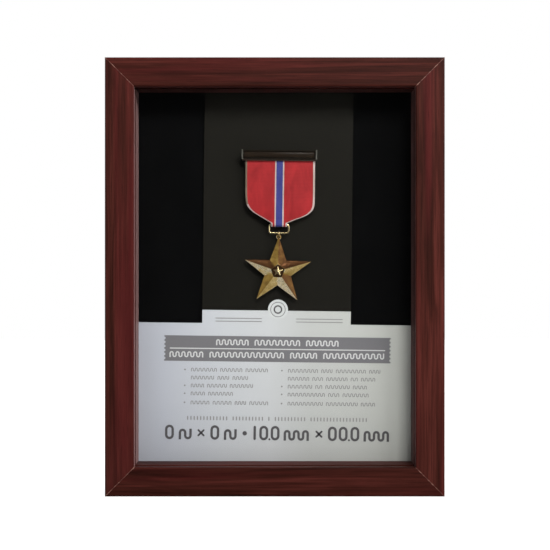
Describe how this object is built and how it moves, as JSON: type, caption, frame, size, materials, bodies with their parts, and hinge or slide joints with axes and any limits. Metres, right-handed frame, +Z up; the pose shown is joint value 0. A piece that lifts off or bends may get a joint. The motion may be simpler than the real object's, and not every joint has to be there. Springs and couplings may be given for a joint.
{
  "type": "shadow box",
  "caption": "Upright mitred wooden display box with a glazed front, velour back and a star medal hanging on a striped ribbon over a printed card.",
  "frame": {"origin": "middle of the footprint of the whole object, folded easel included, on the surface it stands on", "axes": "+Z up along the long side, +Y from the glass to the back, +X to the viewer's right"},
  "size_m": [0.174, 0.0288, 0.2248],
  "materials": {
    "mahogany_moulding": "satin foil with a streaky mahogany grain",
    "clear_glass": "polished",
    "printed_card": "smooth coated print",
    "black_velour": "short soft pile",
    "black_fibreboard": "matt black paper-faced board",
    "black_hinge_steel": "black lacquer",
    "zinc_steel": "zinc plated",
    "brass_plate": "brass plated",
    "aged_bronze": "struck and darkened in the recesses",
    "gilt_wire": "polished gilt",
    "dark_bronze": "dark lacquer with a bright rim",
    "red_ribbon": "ribbed woven silk with narrow stripes"
  },
  "bodies": {
    "frame": {"frame_rail_left": "mahogany_moulding", "frame_rail_top": "mahogany_moulding", "frame_rail_right": "mahogany_moulding", "frame_rail_bottom": "mahogany_moulding", "glass_pane": "clear_glass", "spacer_left": "mahogany_moulding", "spacer_right": "mahogany_moulding", "spacer_top": "mahogany_moulding", "spacer_bottom": "mahogany_moulding", "v_nail_1": "zinc_steel", "turn_button_screw_1": "zinc_steel", "v_nail_2": "zinc_steel", "turn_button_screw_2": "zinc_steel", "v_nail_3": "zinc_steel", "turn_button_screw_3": "zinc_steel", "v_nail_4": "zinc_steel", "turn_button_screw_4": "zinc_steel", "hanger_portrait": "zinc_steel", "hanger_portrait_nail_1": "zinc_steel", "hanger_portrait_nail_2": "zinc_steel", "hanger_landscape": "zinc_steel", "hanger_landscape_nail_1": "zinc_steel", "hanger_landscape_nail_2": "zinc_steel"},
    "back_panel": {"back_board": "black_fibreboard", "velour_pad": "black_velour", "insert_card": "printed_card", "brooch_bar": "dark_bronze", "brooch_pin": "zinc_steel", "ribbon": "red_ribbon", "suspension_loop": "gilt_wire", "easel_hinge_fixed_leaf": "black_hinge_steel", "easel_hinge_pin": "zinc_steel", "easel_rivet_board_1": "zinc_steel", "easel_rivet_board_2": "zinc_steel"},
    "easel_leg": {"easel_leg": "black_fibreboard", "easel_hinge_moving_leaf": "black_hinge_steel", "easel_rivet_leg_1": "zinc_steel", "easel_rivet_leg_2": "zinc_steel"},
    "medal_pendant": {"medal_star": "aged_bronze", "jump_ring": "gilt_wire"},
    "turn_button_1": {"turn_button_1": "brass_plate"},
    "turn_button_2": {"turn_button_2": "brass_plate"},
    "turn_button_3": {"turn_button_3": "brass_plate"},
    "turn_button_4": {"turn_button_4": "brass_plate"}
  },
  "joints": [
    {"name": "back_panel_slide", "type": "slide", "parent": "frame", "child": "back_panel", "axis": [0, 1, 0], "range_m": [0, 0.04]},
    {"name": "easel_leg_fold", "type": "hinge", "parent": "back_panel", "child": "easel_leg", "pos_m": [0, 0.01155, 0.15], "axis": [1, 0, 0], "range_deg": [0, 25]},
    {"name": "medal_swing", "type": "hinge", "parent": "back_panel", "child": "medal_pendant", "pos_m": [0.00215, 0.0004, 0.13546], "axis": [0, 1, 0], "range_deg": [-20, 20]},
    {"name": "turn_button_1_turn", "type": "hinge", "parent": "frame", "child": "turn_button_1", "pos_m": [-0.082, 0.0104, 0.1674], "axis": [0, -1, 0], "range_deg": [0, 90]},
    {"name": "turn_button_2_turn", "type": "hinge", "parent": "frame", "child": "turn_button_2", "pos_m": [-0.082, 0.0104, 0.0574], "axis": [0, 1, 0], "range_deg": [0, 90]},
    {"name": "turn_button_3_turn", "type": "hinge", "parent": "frame", "child": "turn_button_3", "pos_m": [0.082, 0.0104, 0.1674], "axis": [0, 1, 0], "range_deg": [0, 90]},
    {"name": "turn_button_4_turn", "type": "hinge", "parent": "frame", "child": "turn_button_4", "pos_m": [0.082, 0.0104, 0.0574], "axis": [0, -1, 0], "range_deg": [0, 90]}
  ]
}
